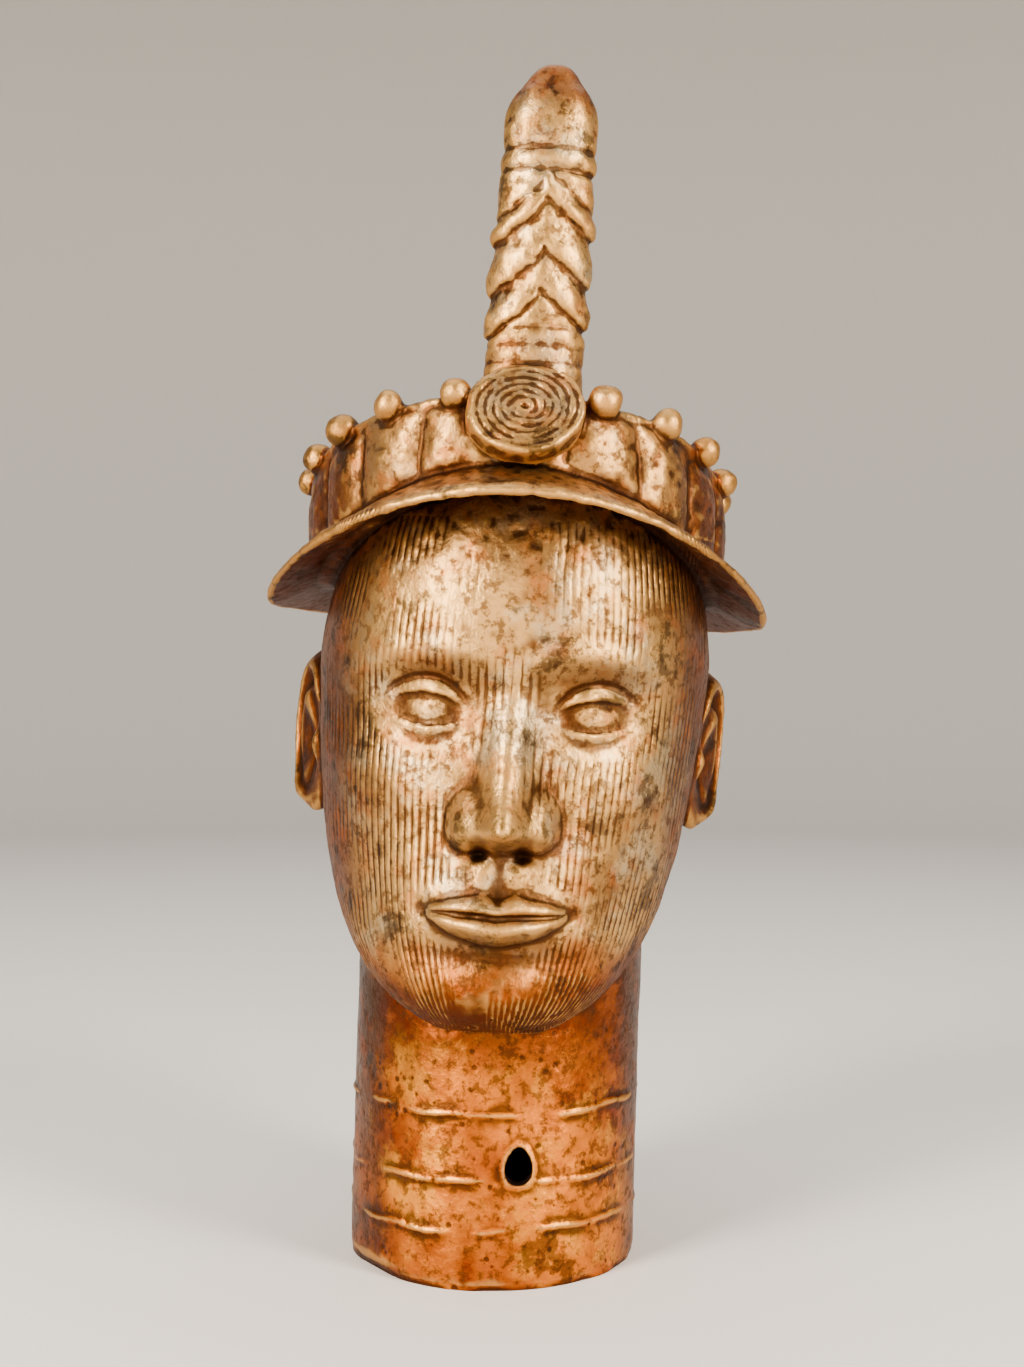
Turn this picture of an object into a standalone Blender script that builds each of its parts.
"""A crowned head cast in copper alloy: one hollow lost-wax casting that stands on its open neck.

Metres, +Z up. The face looks along -Y, and the origin is on the ground under the middle of the crown's brim.
The wax forms are modelled upright, and stance() then gives each the small lean that the casting has.
"""

import math

import bmesh
import bpy
import numpy as np

# Whole casting
TOTAL_HEIGHT = 0.3355
SIDEWAYS_LEAN = 0.0222  # sideways metres for each metre of height
SIDEWAYS_BEND = 0.088  # and for each metre of height squared

# Neck, a tube that is open at the foot
NECK_RADIUS = 0.042
NECK_WALL = 0.0045
THREAD_HEIGHTS = (0.0164, 0.0301, 0.0486)
THREAD_WIDTH = 0.0026
THREAD_RAISE = 0.0008
NECK_COLUMNS = 40

# Egg-shaped hole through the front of the neck
HOLE_WIDTH = 0.0076
HOLE_TALL = 0.0108
HOLE_HEIGHT = 0.0345
HOLE_ASIDE = 0.007

# Head, whose forms below are shares of these
CHIN_HEIGHT = 0.073
HEAD_HEIGHT = 0.173
HEAD_WIDTH = 0.118
HEAD_DEPTH = 0.140
HEAD_MIDDLE_Y = 0.003
HEAD_TILT = math.radians(1.5)
HEAD_WALL = 0.006
HEAD_COLUMNS = 50
FACE_ROWS = 28

# Crown: the wall fits the head, the brim flares out from its root, and its top carries the knobs
BRIM_FLARE = 0.0155
BRIM_WIDTH = HEAD_WIDTH + 2 * BRIM_FLARE
BRIM_DEPTH = 0.95 * HEAD_DEPTH + 2 * BRIM_FLARE
BRIM_HEIGHT = CHIN_HEIGHT + 0.676 * HEAD_HEIGHT
BRIM_RISE = 0.028
BRIM_ARCH_POWER = 1.6
BRIM_TILT = 0.0185  # metres lower on the +X side for each metre out, beyond the casting's own lean
BRIM_DROP = 0.0068
BRIM_THICKNESS = 0.0026
WALL_TOP_HEIGHT = CHIN_HEIGHT + 0.892 * HEAD_HEIGHT
WALL_TOP_FRONT_RISE = 0.017
WALL_TOP_REAR_DROP = 0.006
WALL_TOP_INSET = 0.001
WALL_TOP_ASIDE = -0.002
CROWN_WALL = 0.0055
CROWN_TOP_HEIGHT = CHIN_HEIGHT + 1.006 * HEAD_HEIGHT
CROWN_TURN = math.radians(2.6)
LOBE_COUNT = 18
LOBE_RAISE = 0.003
WALL_FLARE = 0.0045
WALL_FLARE_ANGLE = math.radians(105)
WALL_FLARE_HALF_ANGLE = math.radians(25)
KNOB_RADIUS = 0.0046
CROWN_COLUMNS = 72

# Coiled disc on the crown's front, and the crest behind it
DISC_RADIUS = 0.0162
DISC_SQUASH = 0.92
DISC_ASIDE = -0.001
DISC_THICKNESS = 0.0045
DISC_HEIGHT = WALL_TOP_HEIGHT + WALL_TOP_FRONT_RISE - 0.0053
DISC_FORWARD = BRIM_DEPTH / 2 - BRIM_FLARE
DISC_LEAN = math.radians(28)
DISC_SEAT_DEPTH = 0.005
DISC_SEAT_HALF_ANGLE = 0.26
DISC_COLUMNS = 22
COIL_TURNS = 3
COIL_RAISE = 0.0011
CREST_WIDTH = 0.0275
CREST_DEPTH = 0.0185
CREST_FORWARD = DISC_FORWARD - 0.0155
CREST_FOOT_HEIGHT = DISC_HEIGHT - 0.007
CREST_POINT_LENGTH = 0.0175
CREST_POINT = (
    (0, 0.02), (0.04, 0.24), (0.11, 0.39), (0.24, 0.51), (0.36, 0.63),
    (0.48, 0.78), (0.66, 0.93), (0.84, 0.99), (1, 1),
)
CREST_GROOVE_DEPTH = 0.0012
CREST_GROOVE_WIDTH = 0.0030
CREST_CHEVRONS_BELOW_TOP = (0.0378, 0.0515, 0.0627)
CREST_CHEVRON_DROP = 0.0090
CREST_BANDS_BELOW_TOP = (0.0245, 0.0305, 0.0795)
CREST_ASIDE = 0.0007
CREST_COLUMNS = 12
CREST_ROWS = 31

# Profiles of the head: (share of the height above the chin, share of half the width or depth)
HALF_WIDTH = (
    (0, 0.24), (0.02, 0.36), (0.05, 0.50), (0.10, 0.655), (0.17, 0.79), (0.26, 0.88), (0.38, 0.935),
    (0.50, 0.97), (0.60, 0.985), (0.70, 0.935), (0.80, 0.84), (0.90, 0.66), (0.97, 0.40), (1, 0.08),
)
FRONT = (
    (0, 0.76), (0.02, 0.865), (0.05, 0.915), (0.09, 0.925), (0.14, 0.92), (0.20, 0.925),
    (0.28, 0.925), (0.40, 0.925), (0.50, 0.935), (0.58, 0.965), (0.66, 0.985), (0.74, 0.975),
    (0.82, 0.90), (0.90, 0.73), (0.96, 0.48), (1, 0.06),
)
BACK = (
    (0, -0.62), (0.03, -0.46), (0.08, -0.20), (0.14, 0.12), (0.22, 0.50), (0.32, 0.80), (0.42, 0.94),
    (0.52, 0.985), (0.62, 0.95), (0.72, 0.84), (0.82, 0.68), (0.90, 0.50), (0.96, 0.32), (1, 0.06),
)
WIDEST = (
    (0, -0.69), (0.03, -0.60), (0.08, -0.42), (0.14, -0.20), (0.22, 0.0), (0.40, 0.08), (0.60, 0.08), (1, 0),
)
FRONT_SQUARENESS = 2.3
BACK_SQUARENESS = 2.1

# The face, in hundredths of the head's height: heights from the chin, sideways places from the midline
FACE_UNIT = HEAD_HEIGHT / 100
EYE_ASIDE = 13.4
EYE_HEIGHT = 50
EYE_HALF_WIDTH = 6.9
EYEBALL_RADIUS = 8.6
LID_THICKNESS = 0.75
BROW_HEIGHT = 57.6
NOSE_ROOT_HEIGHT = 54.5
NOSE_TIP_HEIGHT = 33
NOSE_REACH = 8.4
WING_ASIDE = 5
MOUTH_HEIGHT = 19.5
MOUTH_HALF_WIDTH = 11

# Ears
EAR_HALF_HEIGHT = 0.0245
EAR_HALF_DEPTH = 0.0145
EAR_RELIEF = 0.0046
EAR_FLARE = math.radians(20)
EAR_LEAN = math.radians(8)
EAR_COLUMNS = 16


def clear_scene():
    for obj in list(bpy.data.objects):
        bpy.data.objects.remove(obj)


def smoothstep(low, high, value):
    t = np.clip((value - low) / (high - low), 0, 1)
    return t * t * (3 - 2 * t)


def hill(distance, width):
    """A round hill of height 1 that has faded away at about twice its width."""
    return np.exp(-((distance / width) ** 2))


def smooth_max(a, b, blend):
    closeness = np.maximum(blend - np.abs(a - b), 0) / blend
    return np.maximum(a, b) + closeness**2 * blend / 4


def dome(share):
    """1 in the middle, falling to 0 at a share of 1, like the section of a parabola."""
    return np.clip(1 - share**2, 0, 1)


def along_profile(points, t):
    """A smooth curve through the profile's points, read at each t."""
    places, values = (np.array(column, float) for column in zip(*points))
    t = np.clip(t, places[0], places[-1])
    k = np.clip(np.searchsorted(places, t, side="right") - 1, 0, len(places) - 2)
    before = np.maximum(k - 1, 0)
    after = np.minimum(k + 2, len(places) - 1)
    span = places[k + 1] - places[k]
    u = (t - places[k]) / span
    slope_in = (values[k + 1] - values[before]) / (places[k + 1] - places[before]) * span
    slope_out = (values[after] - values[k]) / (places[after] - places[k]) * span
    return (
        values[k] * (2 * u**3 - 3 * u**2 + 1)
        + slope_in * (u**3 - 2 * u**2 + u)
        + values[k + 1] * (3 * u**2 - 2 * u**3)
        + slope_out * (u**3 - u**2)
    )


def sideways_tilt(points, angle, height):
    """Turns points clockwise, as seen from the front, about the middle at this height."""
    x, z = points[..., 0], points[..., 2] - height
    turned_x = x * np.cos(angle) + z * np.sin(angle)
    turned_z = z * np.cos(angle) - x * np.sin(angle)
    return np.stack([turned_x, points[..., 1], turned_z + height], -1)


def stance(points):
    """Moves points of the upright form to where they are on the leaning casting. The foot stays flat."""
    x, z = points[..., 0], points[..., 2]
    middle = SIDEWAYS_LEAN * (z - BRIM_HEIGHT) + SIDEWAYS_BEND * (z**2 - BRIM_HEIGHT**2)
    roll = np.arctan(2 * SIDEWAYS_BEND * np.maximum(z, 0))
    return np.stack([middle + x * np.cos(roll), points[..., 1], z - x * np.sin(roll)], -1)


def bronze():
    material = bpy.data.materials.new("patinated bronze")
    material.use_nodes = True
    shader = material.node_tree.nodes["Principled BSDF"]
    shader.inputs["Base Color"].default_value = (0.42, 0.20, 0.085, 1)
    shader.inputs["Metallic"].default_value = 1
    shader.inputs["Roughness"].default_value = 0.42
    return material


def lofted(form, rings):
    """Adds to a bmesh a closed solid through rings of equally many points, with a flat face over each end."""
    rows = [[form.verts.new(point) for point in ring] for ring in stance(np.array(rings))]
    for near, far in zip(rows, rows[1:]):
        for k in range(len(near)):
            form.faces.new((near[k - 1], near[k], far[k], far[k - 1]))
    form.faces.new(rows[0])
    form.faces.new(rows[-1])


def object_from(name, ringed_solids):
    """One object whose mesh holds these solids, each given by its rings."""
    form = bmesh.new()
    for rings in ringed_solids:
        lofted(form, rings)
    bmesh.ops.recalc_face_normals(form, faces=form.faces)
    mesh = bpy.data.meshes.new(name)
    form.to_mesh(mesh)
    form.free()
    obj = bpy.data.objects.new(name, mesh)
    bpy.context.scene.collection.objects.link(obj)
    return obj


def turn(columns):
    """The angles of a ring's points, from the front round by +X."""
    return 2 * np.pi * np.arange(columns) / columns


def level_ring(half_width, half_depth, height, columns):
    """An oval ring whose height may be one number or one for each point."""
    angle = turn(columns)
    height = height + 0 * angle
    return np.stack([half_width * np.sin(angle), -half_depth * np.cos(angle), height], -1)


def neck():
    """The tube of the neck as a solid, with the thin raised threads round it."""
    outline = [(NECK_RADIUS, 0)]
    for height in THREAD_HEIGHTS:
        outline.append((NECK_RADIUS, height - THREAD_WIDTH / 2))
        outline.append((NECK_RADIUS + THREAD_RAISE, height))
        outline.append((NECK_RADIUS, height + THREAD_WIDTH / 2))
    outline.append((NECK_RADIUS, CHIN_HEIGHT + 0.2 * HEAD_HEIGHT))
    outline.append((NECK_RADIUS - HEAD_WALL, CHIN_HEIGHT + 0.3 * HEAD_HEIGHT))
    return [level_ring(radius, radius, height, NECK_COLUMNS) for radius, height in outline]


def eye_relief(x, z):
    """The eyeball and its two lids, forward of the face's plain surface. Far behind it away from the eye."""
    across, up = x - EYE_ASIDE, z - EYE_HEIGHT
    square = EYEBALL_RADIUS**2 - across**2 - up**2
    ball = np.sqrt(np.maximum(square, 0)) - EYEBALL_RADIUS
    share = np.clip(across / EYE_HALF_WIDTH, -1, 1)
    upper_edge = 2.5 * dome(share) ** 0.75 + 0.35 * share
    lower_edge = -2.1 * dome(share) ** 0.85 + 0.35 * share
    opening = smoothstep(-0.15, 0.25, upper_edge - up) * smoothstep(-0.15, 0.25, up - lower_edge)
    opening = opening * (np.abs(across) < EYE_HALF_WIDTH)
    return np.where(square > 0, ball - 0.65 + LID_THICKNESS * (1 - opening), -9)


def lid_crease(x, z):
    """The fold above the upper lid."""
    share = np.clip((x - EYE_ASIDE) / EYE_HALF_WIDTH, -1, 1)
    crease = EYE_HEIGHT + 2.5 * dome(share) ** 0.75 + 0.35 * share + 2.3 * dome(share) ** 0.5
    return 0.45 * hill(z - crease - 0.2, 0.55) * smoothstep(1, 0.7, np.abs(x - EYE_ASIDE) / EYE_HALF_WIDTH)


def nose_relief(x, z):
    """The ridge, its round tip and the wings."""
    down = np.clip((NOSE_ROOT_HEIGHT - z) / (NOSE_ROOT_HEIGHT - NOSE_TIP_HEIGHT), 0, 1)
    base = smoothstep(NOSE_TIP_HEIGHT - 5.4, NOSE_TIP_HEIGHT + 0.2, z)
    ridge = (1.5 + (NOSE_REACH - 1.5) * down**1.2) * base * smoothstep(60, 51, z)
    across = (1 - smoothstep(0, 1, x / (4.4 + 3.4 * down))) ** (1 - 0.25 * down)
    tip = 1.3 * hill(x, 3.7) * hill(z - NOSE_TIP_HEIGHT - 0.6, 3.3)
    wing = 4.9 * hill(x - WING_ASIDE, 2.5) * hill(z - NOSE_TIP_HEIGHT + 1, 3) * smoothstep(27.8, 30.6, z)
    return smooth_max(ridge * across + tip, wing, 1.6)


def mouth_relief(x, z):
    """The two lips, the line between them and the small dents at its ends."""
    share = np.clip(x / MOUTH_HALF_WIDTH, 0, 1)
    line = MOUTH_HEIGHT + 0.25 * share**2
    bow = 0.35 * hill(x - 2.6, 1.6) - 0.5 * hill(x, 1.2)
    upper_height = np.maximum((3 + bow) * dome(share) ** 0.75, 0.001)
    lower_height = np.maximum(3.9 * dome(share) ** 0.65, 0.001)
    upper = 2.2 * dome((z - line) / upper_height) ** 0.75
    lower = 2.7 * dome((z - line) / lower_height) ** 0.7
    lips = np.where(z >= line, upper, lower) * dome(share) ** 0.5
    lips = lips - 0.9 * hill(z - line, 0.55) * smoothstep(MOUTH_HALF_WIDTH + 0.6, MOUTH_HALF_WIDTH - 1.5, x)
    return lips - 0.5 * hill(x - MOUTH_HALF_WIDTH - 0.6, 1.4) * hill(z - line, 1.6)


def face_relief(x, z):
    """How far the face stands in front of the plain head, all in face units."""
    x = np.abs(x)
    brow = BROW_HEIGHT + 1.6 * np.sin(np.pi * np.clip(x / 26, 0, 1))
    relief = -2.6 * hill(x - 12, 8) * hill(z - 51.5, 5.6)
    relief = relief + 0.9 * hill(z - brow, 2.6) * smoothstep(27, 17, x) * (0.55 + 0.45 * smoothstep(1, 6, x))
    relief = relief + 1.4 * hill(x - 20.5, 8) * hill(z - 40, 7)
    relief = relief + 2.3 * hill(x, 13) * hill(z - 20, 11)
    relief = relief - 0.9 * hill(x - 21, 7) * hill(z - 22, 9)
    relief = smooth_max(relief, eye_relief(x, z), 0.9) - lid_crease(x, z)
    relief = relief + nose_relief(x, z) + mouth_relief(x, z)
    trough = smoothstep(22, 24.6, z) * smoothstep(30, 27, z)
    relief = relief + trough * (0.2 * hill(x - 2.6, 1.2) - 0.4 * hill(x, 1.5))
    return relief + 1.9 * hill(x, 7.5) * hill(z - 6, 5.5) - 1.3 * hill(x, 9) * hill(z - 12.8, 2.3)


def head_rings(shares, columns, inset, with_face):
    """Level outlines of the head at these shares of its height. Columns crowd together on the face."""
    t = np.array(shares)[:, None]
    even = turn(columns)[None, :]
    angle = even - 0.45 * np.sin(even)
    ahead = np.cos(angle)
    half_width = along_profile(HALF_WIDTH, t) * HEAD_WIDTH / 2 - inset
    widest = HEAD_MIDDLE_Y + along_profile(WIDEST, t) * HEAD_DEPTH / 2
    front = HEAD_MIDDLE_Y - along_profile(FRONT, t) * HEAD_DEPTH / 2 + inset
    back = HEAD_MIDDLE_Y + along_profile(BACK, t) * HEAD_DEPTH / 2 - inset
    power = np.where(ahead > 0, 2 / FRONT_SQUARENESS, 2 / BACK_SQUARENESS)
    x = half_width * np.sign(np.sin(angle)) * np.abs(np.sin(angle)) ** power
    y = widest + np.where(ahead > 0, front - widest, back - widest) * np.abs(ahead) ** power
    if with_face:
        y = y - smoothstep(0.1, 0.55, ahead) * FACE_UNIT * face_relief(x / FACE_UNIT, t * 100 + 0 * x)
    points = np.stack([x, y, CHIN_HEIGHT + t * HEAD_HEIGHT + 0 * x], -1)
    return sideways_tilt(points, HEAD_TILT, CHIN_HEIGHT + HEAD_HEIGHT / 2)


def head():
    """Skull, face and jaw. The rows are close together on the face, and wide apart under the crown."""
    jaw = [0.004, 0.02, 0.045, 0.075]
    face = np.linspace(0.105, 0.60, FACE_ROWS)
    skull = [0.66, 0.74, 0.84, 0.94]
    return head_rings([*jaw, *face, *skull], HEAD_COLUMNS, 0, True)


def ear(side):
    """One ear, ringed from the middle of its outer face to the rim and round to the middle of its back."""
    shares = np.array([0.05, 0.25, 0.42, 0.56, 0.68, 0.80, 0.90, 1, -0.7])[:, None]
    angle = turn(EAR_COLUMNS)[None, :]
    r = np.abs(shares)
    outline = 1 + 0.10 * np.sin(angle) - 0.08 * hill(angle - 1.25 * np.pi, 0.5)
    rearward = r * np.cos(angle) * outline
    upward = r * np.sin(angle) * outline
    curved = rearward + 0.3 * upward
    shell = 0.25 + 0.75 * np.sqrt(dome(r**2))
    rim = hill(r - 0.84, 0.10) * np.maximum(smoothstep(-0.75, 0.1, rearward + 0.55 * upward), upward > 0.4)
    bowl = hill(np.hypot(rearward + 0.12, 0.8 * (upward + 0.02)), 0.36)
    inner_fold = hill(np.hypot(rearward - 0.3, 0.6 * upward) - 0.32, 0.10) * smoothstep(-0.2, 0.3, curved)
    front_flap = hill(np.hypot(rearward + 0.62, upward + 0.1), 0.17)
    face = shell + 0.55 * rim - 0.75 * bowl + 0.35 * inner_fold + 0.5 * front_flap
    depth = np.where(shares >= 0, face, -0.6 * np.sqrt(dome(r)))
    out = depth * EAR_RELIEF
    back = rearward * EAR_HALF_DEPTH
    up = upward * EAR_HALF_HEIGHT
    back, up = (
        back * np.cos(EAR_LEAN) + up * np.sin(EAR_LEAN),
        up * np.cos(EAR_LEAN) - back * np.sin(EAR_LEAN),
    )
    x = HEAD_WIDTH / 2 * 0.955 + out * np.cos(EAR_FLARE) + back * np.sin(EAR_FLARE)
    y = HEAD_MIDDLE_Y + 0.006 + back * np.cos(EAR_FLARE) - out * np.sin(EAR_FLARE)
    points = np.stack([side * x, y, CHIN_HEIGHT + 0.435 * HEAD_HEIGHT + up], -1)
    return sideways_tilt(points, HEAD_TILT, CHIN_HEIGHT + HEAD_HEIGHT / 2)


def brim_edge_height(angle):
    """Level round the rear, and arched up over the forehead."""
    arch = BRIM_RISE * np.maximum(np.cos(angle), 0) ** BRIM_ARCH_POWER
    return BRIM_HEIGHT + arch - BRIM_TILT * BRIM_WIDTH / 2 * np.sin(angle)


def wall_top_height(angle):
    ahead = np.cos(angle)
    return WALL_TOP_HEIGHT + np.where(ahead > 0, WALL_TOP_FRONT_RISE, WALL_TOP_REAR_DROP) * ahead


def behind_disc(angle):
    return hill(np.arccos(np.cos(angle)), DISC_SEAT_HALF_ANGLE)


def wall_flare(angle):
    """How far the wall's top stands out a little past the sides, and how far back where the disc leans."""
    past_side = np.arccos(np.cos(angle)) - WALL_FLARE_ANGLE
    return WALL_FLARE * hill(past_side, WALL_FLARE_HALF_ANGLE) - DISC_SEAT_DEPTH * behind_disc(angle)


def crown_ring(inset, height, lobe=0, up=0, scale=1, aside=0, columns=CROWN_COLUMNS):
    """One outline round the crown, inset from the brim's edge, with lobes that swell between the grooves."""
    angle = turn(columns)
    swell = lobe * np.abs(np.cos(LOBE_COUNT * (angle - CROWN_TURN) / 2)) ** 0.7 * (1 - behind_disc(angle))
    swell = swell + up * wall_flare(angle)
    half_width = (BRIM_WIDTH / 2 - inset) * scale + swell
    half_depth = (BRIM_DEPTH / 2 - inset) * scale + swell
    ring = level_ring(half_width, half_depth, height, columns)
    ring[:, 0] += aside
    return ring


def crown():
    """Brim, wall and low domed top as one solid, ringed from under the brim to its edge and up."""
    angle = turn(CROWN_COLUMNS)
    edge = brim_edge_height(angle)
    root = edge + BRIM_DROP
    top = wall_top_height(angle)
    top_inset = BRIM_FLARE + WALL_TOP_INSET
    aside = WALL_TOP_ASIDE
    rings = [
        crown_ring(BRIM_FLARE + 0.006, root - 0.003),
        crown_ring(BRIM_FLARE * 0.55, edge + BRIM_DROP * 0.34 - BRIM_THICKNESS),
        crown_ring(BRIM_THICKNESS / 2, edge - BRIM_THICKNESS * 0.5),
        crown_ring(0, edge),
        crown_ring(BRIM_FLARE * 0.20, edge + BRIM_DROP * 0.24),
        crown_ring(BRIM_FLARE * 0.62, edge + BRIM_DROP * 0.60),
        crown_ring(BRIM_FLARE, root, aside=aside * 0.4),
        crown_ring(
            BRIM_FLARE + WALL_TOP_INSET * 0.2, root * 0.8 + top * 0.2, LOBE_RAISE, 0.2, aside=aside * 0.5
        ),
        crown_ring(top_inset, top - 0.003, LOBE_RAISE, 0.9, aside=aside),
        crown_ring(top_inset + 0.003, top, LOBE_RAISE * 0.4, 1, aside=aside),
    ]
    for scale in (0.6, 0.1):
        height = top * scale**2 + CROWN_TOP_HEIGHT * (1 - scale**2)
        rings.append(crown_ring(top_inset, height, up=scale, scale=scale, aside=aside))
    return rings


def knobs():
    """The round knobs along the top of the wall, one on each lobe but the front one, where the disc is."""
    made = []
    inset = BRIM_FLARE + WALL_TOP_INSET
    for k in range(1, LOBE_COUNT):
        angle = CROWN_TURN + 2 * math.pi * k / LOBE_COUNT
        outward = wall_flare(angle) - inset
        middle = np.array([
            (BRIM_WIDTH / 2 + outward) * math.sin(angle) + WALL_TOP_ASIDE,
            -(BRIM_DEPTH / 2 + outward) * math.cos(angle),
            wall_top_height(angle),
        ])
        rings = []
        for latitude in np.radians([-75, -25, 25, 75]):
            radius = KNOB_RADIUS * math.cos(latitude)
            rings.append(level_ring(radius, radius, KNOB_RADIUS * math.sin(latitude), 8) + middle)
        made.append(rings)
    return made


def disc():
    """The coiled disc: a thick round plate leaning back on the crown, with rings of thread on its face."""
    tread = DISC_RADIUS / (2 * COIL_TURNS + 1)
    profile = [(0.9 * DISC_RADIUS, -DISC_THICKNESS), (DISC_RADIUS, 0)]
    for k in range(2 * COIL_TURNS + 1):
        raised = COIL_RAISE if k % 2 == 0 else 0
        profile.append((DISC_RADIUS - tread * (k + 0.5), DISC_THICKNESS / 2 + raised))
    rings = []
    for radius, out in profile:
        flat = level_ring(radius, radius * DISC_SQUASH, out, DISC_COLUMNS)
        # the plate is laid out flat, and then stood up to face forward and a little upward
        y = flat[:, 1] * math.sin(DISC_LEAN) - flat[:, 2] * math.cos(DISC_LEAN)
        z = flat[:, 1] * math.cos(DISC_LEAN) + flat[:, 2] * math.sin(DISC_LEAN)
        rings.append(np.stack([flat[:, 0] + DISC_ASIDE, y - DISC_FORWARD, z + DISC_HEIGHT], -1))
    return rings


def crest():
    """The upright crest: a flattened rod with a blunt point, carved with level bands and with chevrons."""
    share = np.sin(0.5 * np.pi * np.arange(CREST_ROWS) / (CREST_ROWS - 1)) ** 0.85
    height = (CREST_FOOT_HEIGHT + (TOTAL_HEIGHT - CREST_FOOT_HEIGHT) * share)[:, None]
    angle = turn(CREST_COLUMNS)[None, :]
    to_tip = np.clip((TOTAL_HEIGHT - height) / CREST_POINT_LENGTH, 0, 1)
    closing = along_profile(CREST_POINT, to_tip)
    carved = 0 * (height + angle)
    for below in CREST_BANDS_BELOW_TOP:
        carved = np.maximum(carved, hill(height - TOTAL_HEIGHT + below, CREST_GROOVE_WIDTH / 2))
    for below in CREST_CHEVRONS_BELOW_TOP:
        arm = TOTAL_HEIGHT - below - CREST_CHEVRON_DROP * np.abs(np.sin(angle))
        carved = np.maximum(carved, hill(height - arm, CREST_GROOVE_WIDTH / 2))
    taper = (1 - 0.11 * share)[:, None] * closing
    cut = carved * CREST_GROOVE_DEPTH * closing
    x = (CREST_WIDTH / 2 * taper - cut) * np.sin(angle) + CREST_ASIDE
    y = -(CREST_DEPTH / 2 * taper - cut) * np.cos(angle) - CREST_FORWARD
    return np.stack([x, y, height + 0 * x], -1)


def neck_core():
    """The clay core's lower part, which leaves the neck's tube open at the foot."""
    radius = NECK_RADIUS - NECK_WALL
    top = CHIN_HEIGHT + 0.22 * HEAD_HEIGHT
    return [level_ring(radius, radius, height, 24) for height in (-0.01, 0.0, CHIN_HEIGHT, top)]


def head_core():
    """The core inside the head: the head's own outlines, set in by the wall, with no features."""
    return head_rings([0.16, 0.20, 0.26, 0.34, 0.43, 0.52, 0.61, 0.70, 0.80, 0.88], 20, HEAD_WALL, False)


def crown_core():
    """The core inside the crown, set in from its wall and its top, and open to the head's core below."""
    columns = 24
    angle = turn(columns)
    top = wall_top_height(angle)
    root = brim_edge_height(angle) + BRIM_DROP
    inset = BRIM_FLARE + WALL_TOP_INSET + CROWN_WALL
    rings = [
        crown_ring(inset + 0.011, root * 0.7 + top * 0.3 - 0.012, columns=columns),
        crown_ring(inset + 0.001, top - CROWN_WALL - 0.003, up=0.8, aside=WALL_TOP_ASIDE, columns=columns),
    ]
    for scale in (0.97, 0.65, 0.3):
        height = top * scale**2 + CROWN_TOP_HEIGHT * (1 - scale**2) - CROWN_WALL
        rings.append(crown_ring(inset, height, up=scale, scale=scale, aside=WALL_TOP_ASIDE, columns=columns))
    return rings


def hole():
    """An egg-shaped peg through the front of the neck, rounder below and narrower above."""
    angle = turn(16)
    x = HOLE_ASIDE + HOLE_WIDTH / 2 * np.sin(angle) * (1 - 0.22 * np.cos(angle))
    z = HOLE_HEIGHT + HOLE_TALL / 2 * np.cos(angle)
    return [np.stack([x, y + 0 * x, z], -1) for y in (-NECK_RADIUS - 0.01, -NECK_RADIUS + NECK_WALL + 0.01)]


def combine(casting, operation, name, ringed_solids):
    """Joins a form to the casting or cuts it out. The form itself stays in the scene, unseen."""
    form = object_from(name, ringed_solids)
    form.hide_render = True
    form.display_type = "WIRE"
    modifier = casting.modifiers.new(name, "BOOLEAN")
    modifier.operation = operation
    modifier.object = form
    modifier.solver = "EXACT"


def bronze_head():
    """The casting: every wax form joined into one, and the core and the neck's hole taken out of it."""
    casting = object_from("bronze_head", [head()])
    casting.data.materials.append(bronze())
    combine(casting, "UNION", "neck form", [neck()])
    combine(casting, "UNION", "ear forms", [ear(-1), ear(1)])
    combine(casting, "UNION", "crown form", [crown()])
    combine(casting, "UNION", "crest form", [crest()])
    combine(casting, "UNION", "disc form", [disc()])
    combine(casting, "UNION", "knob forms", knobs())
    combine(casting, "DIFFERENCE", "neck core", [neck_core()])
    combine(casting, "DIFFERENCE", "head core", [head_core()])
    combine(casting, "DIFFERENCE", "crown core", [crown_core()])
    combine(casting, "DIFFERENCE", "neck hole", [hole()])
    casting.data.shade_smooth()
    casting.data.set_sharp_from_angle(angle=math.radians(40))


clear_scene()
bronze_head()
